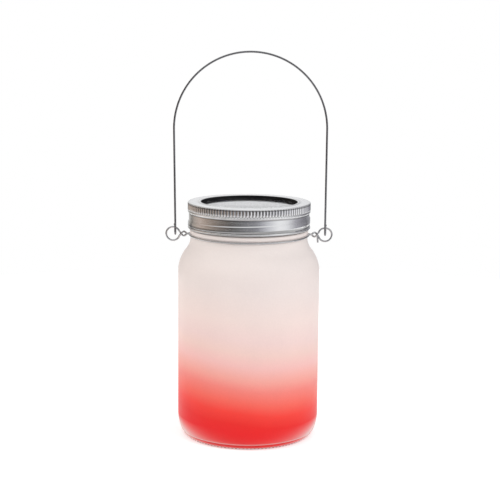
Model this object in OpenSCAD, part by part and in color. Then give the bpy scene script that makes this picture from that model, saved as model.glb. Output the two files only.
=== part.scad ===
// Mason jar lantern: a frosted glass jar, a screw band over a solar light insert, a twisted
// neck wire with two eyes, and a wire bail hooked through them.
// Millimetres. The jar stands on z = 0 with its axis on Z, and the bail swings about a line
// along X. Every height is stacked from the base up: glass, then lid, then wire work.

/* [Jar] */
// Outer radius of the straight wall
jar_r = 42; // [39:0.5:48]
// Height at which the straight wall meets the shoulder
wall_top_z = 98.7; // [85:0.1:120]
// Height of the rounded heel
heel_h = 13.4; // [8:0.2:18]
// How far the heel tucks in at the base
heel_in = 5.9; // [3:0.1:8]
// Radius of the round shoulder
shoulder_r = 21.2; // [19:0.1:24]
// Radius of the hollow fillet from shoulder to neck
neck_fillet_r = 11.4; // [6:0.1:14]
// Outer radius of the neck
neck_r = 34.6; // [34:0.1:34.8]
// Wall thickness of the glass
glass_t = 3; // [2.2:0.1:3.6]
// Thickness of the glass in the base
base_t = 5; // [4:0.1:7]
// Height of the push-up under the base
push_up_h = 1.8; // [0.6:0.1:2.4]
// Width of the flat ring that the jar stands on
bearing_w = 6; // [3:0.5:8]
// Inner radius of the mouth
mouth_r = 30; // [29.6:0.1:30.4]

/* [Jar finish] */
// Plain neck height below the wire bead, where the neck wire lies
wire_seat_h = 2.2; // [1.8:0.1:3]
// Height of the bead above the neck wire
bead_h = 2.6; // [2:0.1:3.4]
// How far the bead stands out of the neck
bead_out = 0.45; // [0.2:0.05:0.6]
// Height of the finish from the bead to the rim
finish_h = 13.2; // [12:0.1:15]
// Outer radius of the finish between the thread ridges
finish_r = 33.6; // [33:0.1:34]
// Outer radius over the thread ridge
thread_r = 34.95; // [34.4:0.05:35]
// Rise of the thread in one turn
thread_pitch = 5.08; // [4:0.02:6]
// Turns of the thread ridge
thread_turns = 1.2; // [0.6:0.1:1.5]
// Width of the thread ridge at its root
thread_root_w = 2.6; // [2:0.1:3]
// Width of the thread ridge at its crest
thread_crest_w = 0.9; // [0.5:0.1:1.4]

/* [Screw band] */
// Outer radius over the knurl and the beads
band_r = 36.25; // [36:0.05:37]
// Outer radius of the plain skin between the beads
band_plain_r = 35.7; // [35.6:0.05:35.9]
// Radius of the opening in the top
band_opening_r = 28.7; // [26:0.1:30]
// Thickness of the steel sheet
sheet_t = 0.4; // [0.25:0.05:0.5]
// Height of the band
band_h = 15.6; // [14.5:0.1:16.5]
// Radius of the rounded top edge
band_edge_r = 0.9; // [0.6:0.1:1.2]
// Height of the knurled part of the skirt
knurl_h = 3.7; // [2:0.1:4.5]
// Depth of the knurl
knurl_depth = 0.4; // [0.2:0.05:0.5]
// Flutes in the knurl
knurl_count = 120; // [60:4:144]

/* [Seal and insert] */
// Thickness of the sealing ring
seal_t = 0.8; // [0.5:0.1:1.5]
// Outer radius of the insert's flange and of the sealing ring
flange_r = 34; // [33.4:0.1:34.4]
// Thickness of the flange
flange_t = 1.6; // [1.4:0.1:2.2]
// Depth of the insert's tub below the flange
tub_h = 16.8; // [16:0.1:20]
// Outer radius of the tub
tub_r = 29.6; // [29.3:0.1:29.7]
// Wall thickness of the tub
tub_t = 1.6; // [1.2:0.1:2]
// Radius of the recess that the clear cover sits in
recess_r = 28.5; // [27.6:0.1:28.6]
// Depth from the flange's top to the cover's top
cover_sink = 1; // [0.5:0.1:1.4]
// Thickness of the clear cover
cover_t = 1; // [0.8:0.1:1.5]
// Thickness of the deck under the clear cover
deck_t = 2.6; // [2.4:0.1:3.5]

/* [Solar cell] */
// Side of the square solar cell
cell_w = 38; // [30:1:39]
// Thickness of the solar cell
cell_t = 1.3; // [1:0.1:1.6]

/* [Battery] */
// Diameter of the cell
battery_d = 10.5; // [9.5:0.1:11]
// Length of the cell without its nipple
battery_l = 43.3; // [40:0.1:44]
// Diameter of the positive nipple
nipple_d = 3.8; // [3:0.1:4.5]
// Length of the positive nipple
nipple_l = 1; // [0.8:0.1:1.4]
// Distance from the jar's axis to the battery's axis
battery_y = 4.5; // [3.8:0.1:5.2]
// Height of the battery's underside above the bottom cover's top
battery_lift = 1; // [0.5:0.1:1.6]
// Thickness of the walls along the battery bay
bay_wall_t = 1.2; // [1:0.1:1.6]
// Thickness of the contact plates
contact_t = 0.4; // [0.3:0.05:0.5]
// Side of the square contact plates
contact_w = 9; // [7:0.1:9.5]
// Wire diameter of the contact spring
spring_wire_d = 0.6; // [0.4:0.05:0.8]
// Free length of the compressed contact spring
spring_l = 2.6; // [2.2:0.1:3]

/* [Circuit] */
// Length of the circuit board
board_l = 34; // [30:1:36]
// Width of the circuit board
board_w = 12.5; // [11:0.5:13]
// Thickness of the circuit board
board_t = 1.2; // [0.8:0.1:1.6]
// Distance from the jar's axis to the middle of the board
board_y = -10.4; // [-11:0.1:-10]
// Height of the board's underside above the bottom cover's top
board_lift = 5; // [4.6:0.1:6]
// Diameter of the light-emitting diode
led_d = 5; // [3:0.1:5.4]
// How far the diode reaches below the bottom cover
led_drop = 2.2; // [1:0.1:4]
// Diameter of the insulated leads
lead_d = 1.2; // [0.8:0.1:1.4]
// Travel of the switch slider
switch_travel = 2; // [1:0.1:3]

/* [Bottom cover] */
// Thickness of the bottom cover
cover_plate_t = 1.6; // [1.2:0.1:2]
// Radius of the circle that the cover screws lie on
screw_circle_r = 23; // [22:0.1:23.4]
// Thread diameter of the cover screws
screw_d = 2; // [1.6:0.1:2.2]
// How much longer the battery door is than the cell
door_over = 3.7; // [3:0.1:4.5]
// Width of the battery door
door_w = 12.4; // [11.6:0.1:12.8]

/* [Wire work] */
// Diameter of the neck wire
neck_wire_d = 1.1; // [0.9:0.05:1.3]
// Half the height of the open twist between neck and eye
twist_r = 1.3; // [0.9:0.1:1.5]
// Length of the twist from the neck loop to the eye
twist_l = 3.6; // [3.2:0.1:5]
// Radius of the eye's centre line
eye_r = 4; // [3.6:0.1:4.6]
// Bend radius where the neck loop turns out into the twist
turn_out_r = 1.8; // [1.5:0.1:2.4]
// Length of the cut end left beside one twist
cut_end_l = 4.6; // [2:0.1:6]
// Diameter of the bail's wire
bail_wire_d = 1.2; // [1:0.05:1.4]
// Height of the bail's top centre line above the eyes' pivots
bail_rise = 103; // [95:0.5:125]
// Radius that the bail's top is bent round to: half its width, on the centre line
bail_half_w = 44.7; // [44.2:0.1:47]
// Bend radius of the hooks
hook_r = 1.6; // [1.5:0.05:1.8]
// Depth of the hooks below the pivot
hook_drop = 4.2; // [3.6:0.1:4.8]

/* [Clearances] */
// Gap between parts that lie on or in each other
seat_gap = 0.05; // [0.02:0.01:0.1]
// Gap around sliding and lifting parts
slide_gap = 0.15; // [0.1:0.05:0.3]

/* [Hidden] */
// Smoothness of the round surfaces
$fn = 96;

// Glass heights
shoulder_c = jar_r - shoulder_r;
fillet_c = neck_r + neck_fillet_r;
fillet_z = wall_top_z + sqrt(pow(shoulder_r + neck_fillet_r, 2) - pow(fillet_c - shoulder_c, 2));
shoulder_a = atan2(fillet_z - wall_top_z, fillet_c - shoulder_c);
bead_z = fillet_z + wire_seat_h;
finish_z = bead_z + bead_h;
rim_z = finish_z + finish_h;
base_r = jar_r - heel_in;

// Lid heights
seal_z = rim_z + seat_gap;
flange_z = seal_z + seal_t + seat_gap;
flange_top_z = flange_z + flange_t;
band_top_z = flange_top_z + seat_gap + sheet_t;
band_z = band_top_z - band_h;
cover_top_z = flange_top_z - cover_sink;
recess_z = cover_top_z - cover_t - seat_gap;
deck_z = recess_z - deck_t;
tub_z = flange_z - tub_h;
tub_in_r = tub_r - tub_t;
plate_z = tub_z + cover_plate_t;

// Insert places
cell_pocket_d = cell_t + 2 * seat_gap;
battery_z = plate_z + battery_lift + battery_d / 2;
bay_w = battery_d + 2 * slide_gap;
battery_x = (spring_l - nipple_l) / 2;
bay_half_l = (battery_l + nipple_l + spring_l) / 2 + contact_t + slide_gap;
door_l = battery_l + door_over;
board_z = plate_z + board_lift;
board_top_z = board_z + board_t;
led_x = 0;
led_y = board_y + board_w / 2 - 3.6;
led_flange_d = led_d + 0.8;
led_flange_h = 1;
led_hole_d = led_d + 2 * slide_gap;
switch_x = 10;
switch_y = board_y - 1.5;
switch_l = 8.6;
switch_w = 4.4;
switch_h = 3.4;
slider_w = 2;
slider_t = 2;
slider_drop = 1.4;
screw_angles = [90, 205, 335];
boss_d = 5;
boss_h = 7;
pilot_d = screw_d - 0.35;
head_d = 3.8;
head_h = 0.7;
post_d = 3.6;
post_x = board_l / 2 - 4;
door_pin_x = -door_l / 2 + cover_plate_t / 2;
door_pin_d = 0.9;
door_pin_l = 1.2;

// Wire places
wire_z = bead_z - neck_wire_d / 2 - slide_gap;
neck_loop_r = neck_r + neck_wire_d / 2 + seat_gap;
strand_gap = neck_wire_d / 2 + seat_gap;
turn_out_a = asin((turn_out_r + strand_gap) / (neck_loop_r + turn_out_r));
turn_out_x = (neck_loop_r + turn_out_r) * cos(turn_out_a);
cross_x = turn_out_x + twist_l;
eye_dip = 0.5;
eye_x = cross_x + eye_r + eye_dip;
eye_gap_a = 148;
pivot_z = wire_z + eye_r;
bail_top_z = pivot_z + bail_rise;
bail_arc_z = bail_top_z - bail_half_w;
hook_bend_z = pivot_z - hook_drop + hook_r;
leg_lean_a = atan2(bail_half_w - eye_x, bail_arc_z - pivot_z);
leg_lap_a = lap_angle(bail_half_w, 0.3);
tip_a = 78;
lap_share = 0.985;
sides = 10;

// Points along an arc of an ellipse, from angle a0 to a1 in n steps
function arc(cx, cy, rx, ry, a0, a1, n) =
    [for (i = [0:n]) let (a = a0 + (a1 - a0) * i / n) [cx + rx * cos(a), cy + ry * sin(a)]];

function unit(v) = v / norm(v);

// Smooth curve through a list of points, with some steps between each pair
function smooth(p, steps) = [
    for (i = [0:len(p) - 2])
        let (a = p[max(i - 1, 0)], b = p[i], c = p[i + 1], d = p[min(i + 2, len(p) - 1)])
            for (s = [0:steps - 1])
                let (t = s / steps)
                    (2 * b + (c - a) * t + (2 * a - 5 * b + 4 * c - d) * t * t
                        + (3 * b - a - 3 * c + d) * t * t * t) / 2,
    p[len(p) - 1]
];

// Round wire swept along a path; side is a direction that the path never runs along, and
// tenon is the share of the diameter that the two end rings have
module wire(path, d, side, tenon = 1) {
    last = len(path) - 1;
    points = [
        for (i = [0:last])
            let (t = unit(path[min(i + 1, last)] - path[max(i - 1, 0)]),
                u = unit(cross(side, t)),
                v = cross(t, u),
                r = d / 2 * (i == 0 || i == last ? tenon : 1))
                for (k = [0:sides - 1])
                    path[i] + r * (u * cos(360 * k / sides) + v * sin(360 * k / sides))
    ];
    skin = [
        for (i = [0:last - 1])
            for (k = [0:sides - 1])
                let (n = (k + 1) % sides)
                    [i * sides + k, (i + 1) * sides + k, (i + 1) * sides + n, i * sides + n]
    ];
    ends = [[for (k = [0:sides - 1]) k], [for (k = [sides - 1:-1:0]) last * sides + k]];
    polyhedron(points, concat(skin, ends), convexity = 6);
}

// Ring of wire: an exact torus, or a part of one
module wire_arc(r, d, angle = 360) {
    rotate_extrude(angle = angle) translate([r, 0]) circle(d = d, $fn = 48);
}

// Angle by which an arc laps into the wire it runs on into
function lap_angle(r, l) = l / r * 180 / PI;

module straight_wire(d, l) {
    cylinder(d = d, h = l, $fn = 48);
}

// ---- Jar -------------------------------------------------------------------------------

// Outline of the glass, from the middle of the base out, up the outside and down the inside
module glass_outline() {
    heel = arc(base_r, heel_h, heel_in, heel_h, -90, 0, 12);
    shoulder = arc(shoulder_c, wall_top_z, shoulder_r, shoulder_r, 0, shoulder_a, 12);
    fillet = arc(fillet_c, fillet_z, neck_fillet_r, neck_fillet_r, 180 + shoulder_a, 180, 8);
    bead = arc(neck_r, bead_z + bead_h / 2, bead_out, bead_h / 2, -90, 90, 8);
    lip = arc(finish_r - 1, rim_z - 1, 1, 1, 0, 90, 4);
    mouth_lip = arc(mouth_r + 0.8, rim_z - 0.8, 0.8, 0.8, 90, 180, 4);
    inner_shoulder_r = shoulder_r - glass_t;
    mouth_a = acos((mouth_r - shoulder_c) / inner_shoulder_r);
    inner_shoulder = arc(shoulder_c, wall_top_z, inner_shoulder_r, inner_shoulder_r, mouth_a, 0, 12);
    inner_heel_h = heel_h - base_t + 4;
    inner_heel = arc(jar_r - glass_t - 8, base_t + inner_heel_h, 8, inner_heel_h, 0, -90, 10);
    ring_in = base_r - bearing_w;
    polygon(concat(
        [[0, push_up_h], [ring_in - 4, push_up_h], [ring_in, 0]],
        heel, shoulder, fillet, bead,
        [[finish_r, finish_z + 0.6]],
        lip, mouth_lip, inner_shoulder, inner_heel,
        [[0, base_t + 0.6]]));
}

// Ridge that the band screws onto: a trapezoid carried up a helix, fading at both ends
module glass_thread() {
    steps = ceil(thread_turns * 60);
    fade = 6;
    root_r = finish_r - 0.4;
    start_z = rim_z - 2.6 - thread_pitch * thread_turns - thread_root_w / 2;
    points = [
        for (i = [0:steps])
            let (a = 360 * thread_turns * i / steps,
                out = min(1, i / fade, (steps - i) / fade),
                crest_r = root_r + 0.3 + (thread_r - root_r - 0.3) * out,
                z = start_z + thread_pitch * a / 360 + thread_root_w / 2)
                for (p = [[root_r, -thread_root_w / 2], [crest_r, -thread_crest_w / 2],
                        [crest_r, thread_crest_w / 2], [root_r, thread_root_w / 2]])
                    [p[0] * cos(a), p[0] * sin(a), z + p[1]]
    ];
    skin = [
        for (i = [0:steps - 1])
            for (k = [0:3])
                let (n = (k + 1) % 4)
                    [i * 4 + k, (i + 1) * 4 + k, (i + 1) * 4 + n, i * 4 + n]
    ];
    ends = [[0, 1, 2, 3], [for (k = [3:-1:0]) steps * 4 + k]];
    polyhedron(points, concat(skin, ends), convexity = 8);
}

module glass_jar() color("mistyrose") {
    rotate_extrude() glass_outline();
    glass_thread();
}

// ---- Wire work -------------------------------------------------------------------------

// One strand of the open twist: out of the bend, over the lens, across and into the eye
module twist_strand() {
    path = concat(
        [[turn_out_x - 0.5, -strand_gap - 0.07, 0]],
        smooth([
            [turn_out_x + 0.02, -strand_gap, 0],
            [turn_out_x + twist_l * 0.22, -strand_gap, twist_r * 0.6],
            [turn_out_x + twist_l * 0.5, 0, twist_r],
            [turn_out_x + twist_l * 0.8, strand_gap * 0.9, twist_r * 0.5],
            [cross_x, strand_gap, -0.35],
            [eye_x - eye_r + 0.12, strand_gap * 0.4, -1.2],
            eye_point(eye_gap_a + 0.4)
        ], 4),
        [eye_point(eye_gap_a - 8)]);
    wire(path, neck_wire_d * 0.98, [0, 1, 0.05], 0.5);
}

// Point on the eye's centre line, below it, at an angle from the outer end
function eye_point(a) = [eye_x + eye_r * cos(a), 0, -eye_r * sin(a)];

// Everything that lies on one side of the jar: two bends, two strands and the eye
module wire_side() {
    for (flip = [0, 180]) rotate([flip, 0, 0]) {
        translate([turn_out_x, -turn_out_r - strand_gap, 0])
            rotate([0, 0, 90]) wire_arc(turn_out_r, neck_wire_d * lap_share,
                90 - turn_out_a + lap_angle(turn_out_r, 0.15));
        twist_strand();
    }
    translate([eye_x, 0, 0]) rotate([90, 0, 0])
        rotate([0, 0, -eye_gap_a]) wire_arc(eye_r, neck_wire_d, 2 * eye_gap_a);
}

module neck_wire() color("dimgray") translate([0, 0, wire_z]) {
    for (flip = [0, 180]) rotate([0, 0, flip]) {
        rotate([0, 0, turn_out_a]) wire_arc(neck_loop_r, neck_wire_d, 180 - 2 * turn_out_a);
        wire_side();
    }
    translate([cross_x - 0.1, -strand_gap, 0.2])
        rotate([180, -4, 0]) cylinder(d = neck_wire_d * 0.96, h = cut_end_l + 0.2, $fn = sides);
}

// Leg and hook of the bail on the +X side: down, under the eye's wire, and back over it
module bail_side() {
    leg_x = bail_half_w * cos(leg_lean_a);
    leg_z = bail_arc_z - bail_half_w * sin(leg_lean_a);
    leg_l = (leg_z - hook_bend_z) / cos(leg_lean_a);
    eye_side_l = hook_drop - hook_r;
    translate([leg_x, -hook_r, leg_z]) rotate([0, leg_lean_a, 0]) translate([0, 0, -leg_l]) {
        straight_wire(bail_wire_d, leg_l);
        translate([0, hook_r, 0]) rotate([0, 90, 0])
            rotate([0, 0, -90]) wire_arc(hook_r, bail_wire_d, 180);
        translate([0, 2 * hook_r, 0]) straight_wire(bail_wire_d, eye_side_l);
        translate([0, hook_r, eye_side_l]) rotate([0, 90, 0])
            rotate([0, 0, 90]) wire_arc(hook_r, bail_wire_d, tip_a);
    }
}

module bail() color("silver") {
    translate([0, -hook_r, bail_arc_z]) rotate([90, 0, 0])
        rotate([0, 0, -leg_lean_a - leg_lap_a]) wire_arc(bail_half_w, bail_wire_d * lap_share,
            180 + 2 * (leg_lean_a + leg_lap_a));
    bail_side();
    mirror([1, 0, 0]) bail_side();
}

// ---- Screw band and seal -----------------------------------------------------------------

// Skin of the band as a line of points, from the skirt's foot up and in to the opening
function band_skin() =
    let (bump = band_r - band_plain_r, knurl_top = band_top_z - band_edge_r)
    concat(
        [[band_plain_r - 0.1, band_z]],
        arc(band_plain_r, band_z + 1, bump, 0.8, -90, 90, 8),
        [[band_plain_r - 0.1, band_z + 2.1]],
        arc(band_plain_r, band_z + 4, bump * 0.9, 1.6, -90, 90, 8),
        [[band_plain_r, band_z + 6], [band_plain_r, band_z + 8.6],
            [band_plain_r - 0.15, band_z + 9.1]],
        arc(band_plain_r, band_z + 10, bump, 0.6, -90, 90, 8),
        [[band_r - knurl_depth, knurl_top - knurl_h]],
        arc(band_r - knurl_depth - band_edge_r, knurl_top, band_edge_r, band_edge_r, 0, 90, 6),
        [[band_opening_r + 1.6, band_top_z - 0.05]],
        arc(band_opening_r + 0.5, band_top_z - 0.35, 0.5, 0.4, 90, 180, 5));

// Second face of the sheet: each point moved in by the sheet's thickness
function inner_skin(p) = [
    for (i = [len(p) - 1:-1:0])
        let (d = unit(p[min(i + 1, len(p) - 1)] - p[max(i - 1, 0)]))
            p[i] + sheet_t * [-d[1], d[0]]
];

module knurl() {
    knurl_top = band_top_z - band_edge_r;
    root_r = band_r - knurl_depth;
    step = 360 / knurl_count;
    translate([0, 0, knurl_top - knurl_h]) linear_extrude(knurl_h) difference() {
        polygon([
            for (i = [0:knurl_count - 1])
                for (p = [[root_r, 0.12], [band_r, 0.34], [band_r, 0.66], [root_r, 0.88]])
                    [p[0] * cos(step * (i + p[1])), p[0] * sin(step * (i + p[1]))]
        ]);
        circle(r = root_r - sheet_t / 2);
    }
}

module screw_band() color("silver") {
    skin = band_skin();
    rotate_extrude() polygon(concat(skin, inner_skin(skin)));
    knurl();
}

module seal_ring() color("whitesmoke") translate([0, 0, seal_z]) difference() {
    cylinder(r = flange_r, h = seal_t);
    translate([0, 0, -1]) cylinder(r = mouth_r + 0.4, h = seal_t + 2);
}

// ---- Solar insert ------------------------------------------------------------------------

module at_screws() {
    for (a = screw_angles) rotate([0, 0, a]) translate([screw_circle_r, 0, 0]) children();
}

module at_cell_leads() {
    for (x = [-6, 6]) translate([x, board_y + 1, 0]) children();
}

module insert_housing() color("#1c1c1e") difference() {
    union() {
        translate([0, 0, flange_z]) cylinder(r = flange_r, h = flange_t);
        difference() {
            translate([0, 0, tub_z]) cylinder(r = tub_r, h = tub_h + 0.5);
            translate([0, 0, tub_z - 1]) cylinder(r = tub_in_r, h = deck_z - tub_z + 1);
        }
        // Walls along the battery bay
        for (side = [-1, 1])
            translate([-bay_half_l, battery_y + side * (bay_w + bay_wall_t) / 2 - bay_wall_t / 2,
                plate_z + seat_gap])
                cube([2 * bay_half_l, bay_wall_t, deck_z - plate_z + 0.2]);
        // Screw bosses
        at_screws() translate([0, 0, plate_z + seat_gap]) cylinder(d = boss_d, h = deck_z - plate_z);
        // Posts that the circuit board hangs from
        for (side = [-1, 1])
            translate([side * post_x, board_y, board_top_z + seat_gap])
                cylinder(d = post_d, h = deck_z - board_top_z, $fn = 32);
    }
    translate([0, 0, recess_z]) cylinder(r = recess_r, h = flange_t + cover_t + 5);
    translate([-cell_w / 2 - slide_gap, -cell_w / 2 - slide_gap, recess_z - cell_pocket_d])
        cube([cell_w + 2 * slide_gap, cell_w + 2 * slide_gap, cell_pocket_d + 1]);
    at_cell_leads() translate([0, 0, deck_z - 1]) cylinder(d = lead_d + 0.6, h = deck_t + 2, $fn = 24);
    at_screws() translate([0, 0, plate_z - 1]) cylinder(d = pilot_d, h = boss_h + 1, $fn = 32);
}

module clear_cover() color("lavender", 0.6)
    translate([0, 0, cover_top_z - cover_t]) cylinder(r = recess_r - seat_gap, h = cover_t);

module solar_cell() color("midnightblue")
    translate([-cell_w / 2, -cell_w / 2, recess_z - cell_t - seat_gap]) cube([cell_w, cell_w, cell_t]);

// Leads from the cell's underside down to the board
module cell_lead(x) {
    top_z = recess_z - cell_t - seat_gap;
    y = board_y + 1;
    wire(smooth([[x, y, top_z - seat_gap], [x, y, deck_z], [x, y - 0.4, deck_z - 1.2],
        [x, y - 0.4, board_top_z + 1.2], [x, y - 0.4, board_top_z + seat_gap]], 4), lead_d, [0, 1, 0]);
}

module solar_lead_red() color("firebrick") cell_lead(-6);

module solar_lead_black() color("black") cell_lead(6);

module switch_slot(extra) {
    l = slider_w + switch_travel + 2 * extra;
    translate([switch_x - l / 2, switch_y - slider_t / 2 - extra, 0])
        cube([l, slider_t + 2 * extra, cover_plate_t * 4]);
}

module bottom_cover() color("#202022") difference() {
    translate([0, 0, tub_z]) cylinder(r = tub_in_r - seat_gap, h = cover_plate_t);
    translate([-door_l / 2 - slide_gap, battery_y - door_w / 2 - slide_gap, tub_z - 1])
        cube([door_l + 2 * slide_gap, door_w + 2 * slide_gap, cover_plate_t + 2]);
    at_door_pin() cylinder(d = door_pin_d + 2 * seat_gap,
        h = door_w + 2 * door_pin_l + 4 * slide_gap, center = true, $fn = 48);
    translate([led_x, led_y, tub_z - 1]) cylinder(d = led_hole_d, h = cover_plate_t + 2, $fn = 48);
    translate([0, 0, tub_z - 1]) switch_slot(slide_gap);
    at_screws() {
        translate([0, 0, tub_z - 1]) cylinder(d = screw_d + 0.3, h = cover_plate_t + 2, $fn = 32);
        translate([0, 0, tub_z - 1]) cylinder(d = head_d + 0.2, h = 1 + cover_plate_t / 2, $fn = 48);
    }
}

module cover_screws() color("gainsboro") at_screws() translate([0, 0, tub_z + seat_gap]) {
    difference() {
        cylinder(d = head_d, h = head_h, $fn = 48);
        for (a = [0, 90]) rotate([0, 0, a]) translate([-head_d / 3, -0.25, -0.1])
            cube([head_d * 2 / 3, 0.5, 0.5]);
    }
    translate([0, 0, head_h - 0.01])
        cylinder(d = pilot_d - 2 * seat_gap, h = cover_plate_t / 2 + boss_h - 1, $fn = 32);
}

// Door over the battery: a plate with a finger groove, turning on two pins at its -X end
module battery_door() color("#26262a") difference() {
    union() {
        translate([door_pin_x, battery_y - door_w / 2, tub_z])
            cube([door_l - cover_plate_t / 2, door_w, cover_plate_t]);
        at_door_pin() cylinder(d = cover_plate_t, h = door_w, center = true, $fn = 48);
        at_door_pin() cylinder(d = door_pin_d, h = door_w + 2 * door_pin_l, center = true, $fn = 48);
    }
    for (i = [0:2]) translate([door_l / 2 - 7 + 2 * i, battery_y - door_w / 3, tub_z - 0.4])
        cube([0.8, door_w * 2 / 3, 0.8]);
}

module at_door_pin() {
    translate([door_pin_x, battery_y, tub_z + cover_plate_t / 2]) rotate([90, 0, 0]) children();
}

module battery() color("mediumseagreen") translate([battery_x, battery_y, battery_z]) rotate([0, 90, 0]) {
    translate([0, 0, -battery_l / 2]) cylinder(d = battery_d, h = battery_l, $fn = 64);
    translate([0, 0, battery_l / 2]) cylinder(d = nipple_d, h = nipple_l, $fn = 32);
}

// Plate at the +X end of the bay
module plus_contact() color("lightgray") {
    x = battery_x + battery_l / 2 + nipple_l + seat_gap;
    translate([x, battery_y - contact_w / 2, battery_z - contact_w / 2])
        cube([contact_t, contact_w, contact_w]);
}

// Plate and cone spring at the -X end of the bay
module minus_spring() color("lightgray") {
    plate_x = battery_x - battery_l / 2 - spring_l;
    turns = 3;
    steps = 14;
    translate([plate_x - contact_t, battery_y - contact_w / 2, battery_z - contact_w / 2])
        cube([contact_t, contact_w, contact_w]);
    path = [
        for (i = [0:turns * steps])
            let (s = i / (turns * steps), a = 360 * turns * s, r = 3.4 - 1.2 * s)
                [plate_x + spring_wire_d * 0.4 + (spring_l - spring_wire_d * 0.95) * s,
                    battery_y + r * cos(a), battery_z + r * sin(a)]
    ];
    wire(path, spring_wire_d, [1, 0, 0]);
}

// Lead from a contact plate round the end of the bay wall to the board
module battery_lead(end, plate_x) {
    x = plate_x + end * (lead_d / 2 + seat_gap);
    round_x = end * (bay_half_l + lead_d / 2 + 2 * slide_gap);
    wall_y = battery_y - bay_w / 2 - bay_wall_t / 2;
    pad = [end * (board_l / 2 - 1.6), board_y + 3.2, board_top_z + seat_gap];
    wire(smooth([[x, battery_y - 2, battery_z], [x, battery_y - 3, battery_z + 2],
        [round_x, wall_y, battery_z + 3], [round_x - end * 1.6, wall_y - 3, battery_z + 3],
        pad + [end * 3, 0.8, 3], pad + [end * 0.8, 0, 2.6], pad + [0, 0, 1.2], pad], 3),
        lead_d, [end, -1, 1]);
}

module battery_lead_red() color("firebrick")
    battery_lead(1, battery_x + battery_l / 2 + nipple_l + seat_gap + contact_t);

module battery_lead_black() color("black")
    battery_lead(-1, battery_x - battery_l / 2 - spring_l - contact_t);

// ---- Circuit -----------------------------------------------------------------------------

module circuit_board() color("darkgreen") difference() {
    translate([-board_l / 2, board_y - board_w / 2, board_z]) cube([board_l, board_w, board_t]);
    for (side = [-1, 1]) translate([side * (board_l / 2 + 0.01), board_y - board_w / 2 - 0.01, board_z - 1])
        rotate([0, 0, 45]) translate([-1, -1, 0]) cube([2, 2, board_t + 2]);
}

module driver_chip() color("#222222") translate([-4, board_y + 3.4, board_top_z + seat_gap]) {
    translate([-2.5, -1.2, 0.6]) cube([5, 2.4, 2.6]);
    for (i = [0:3]) translate([-1.9 + 1.27 * i - 0.2, -0.2, 0]) cube([0.4, 0.4, 0.7]);
}

// Axial choke with its two bent legs
module coil_choke() color("seagreen") translate([3.6, board_y - 3.6, board_top_z + seat_gap + 1.4]) {
    rotate([0, 90, 0]) translate([0, 0, -3]) cylinder(d = 2.6, h = 6, $fn = 32);
    for (side = [-1, 1]) {
        translate([side * 3, 0, 0]) rotate([0, side * 90, 0]) cylinder(d = 0.5, h = 1.5, $fn = 24);
        translate([side * 4.3, 0, -1.4]) cylinder(d = 0.5, h = 1.4, $fn = 24);
    }
}

module led() color("white") translate([led_x, led_y, 0]) {
    tip_z = tub_z - led_drop;
    top_z = board_z - seat_gap;
    translate([0, 0, tip_z + led_d / 2]) cylinder(d = led_d, h = top_z - tip_z - led_d / 2, $fn = 48);
    translate([0, 0, tip_z + led_d / 2]) sphere(d = led_d, $fn = 48);
    translate([0, 0, top_z - led_flange_h]) cylinder(d = led_flange_d, h = led_flange_h, $fn = 48);
}

module switch_body() color("silver")
    difference() {
        translate([switch_x - switch_l / 2, switch_y - switch_w / 2, board_z - seat_gap - switch_h])
            cube([switch_l, switch_w, switch_h]);
        translate([0, 0, board_z - seat_gap - switch_h - cover_plate_t * 4 + 1.2]) switch_slot(slide_gap);
    }

module switch_slider() color("whitesmoke") {
    top_z = board_z - seat_gap - switch_h + 1.1;
    x = switch_x - (slider_w + switch_travel) / 2;
    translate([x, switch_y - slider_t / 2, tub_z - slider_drop])
        cube([slider_w, slider_t, top_z - tub_z + slider_drop]);
}

glass_jar();
neck_wire();
bail();
screw_band();
seal_ring();
insert_housing();
clear_cover();
solar_cell();
solar_lead_red();
solar_lead_black();
bottom_cover();
cover_screws();
battery_door();
battery();
plus_contact();
minus_spring();
battery_lead_red();
battery_lead_black();
circuit_board();
driver_chip();
coil_choke();
led();
switch_body();
switch_slider();
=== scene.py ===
# Mason jar lantern: a frosted glass jar, a screw band over a solar light insert, a twisted neck
# wire with an eye at each side, and a wire bail that swings in the eyes. It stands on Z 0 with
# its front towards -Y. Shapes are laid out in millimetres and made in metres.
import math

import bmesh
import bpy
from mathutils import Matrix, Vector


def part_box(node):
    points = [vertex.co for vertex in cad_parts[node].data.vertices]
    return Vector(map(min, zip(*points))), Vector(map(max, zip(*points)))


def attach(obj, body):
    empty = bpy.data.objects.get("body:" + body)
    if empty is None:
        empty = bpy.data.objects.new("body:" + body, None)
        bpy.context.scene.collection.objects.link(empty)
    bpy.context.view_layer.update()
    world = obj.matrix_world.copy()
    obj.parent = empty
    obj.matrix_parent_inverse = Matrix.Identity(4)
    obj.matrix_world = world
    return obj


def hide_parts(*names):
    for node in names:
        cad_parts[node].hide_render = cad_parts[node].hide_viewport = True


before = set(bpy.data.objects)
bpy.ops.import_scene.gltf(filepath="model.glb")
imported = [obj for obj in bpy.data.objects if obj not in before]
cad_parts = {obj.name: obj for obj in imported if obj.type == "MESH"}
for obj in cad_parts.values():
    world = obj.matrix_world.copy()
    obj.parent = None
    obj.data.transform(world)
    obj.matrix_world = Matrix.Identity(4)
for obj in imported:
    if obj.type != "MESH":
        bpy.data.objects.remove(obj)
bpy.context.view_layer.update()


# ---- Jar ---------------------------------------------------------------------------------
# Pressed glass, etched matt all over, with red pigment fogged on from the base up that thins
# out to the white of the etch. It stands on a ring of moulded stipple bars under the heel.
MM = 0.001
BASE_Z, DISH_Z, RING_IN_R, RING_OUT_R = 0.35, 1.8, 30.4, 36.4
HEEL_R, HEEL_IN, HEEL_H = 42.0, 5.9, 13.4
FOOT_R, FOOT_TOP_Z, FOOT_GAP = 39.05, 3.0, 0.45
WALL_TOP_Z, SHOULDER_R, SHOULDER_C, SHOULDER_SWEEP = 98.7, 21.2, 20.8, 39.37
NECK_R, FILLET_C, FILLET_Z = 34.6, 46.0, 119.381
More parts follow.
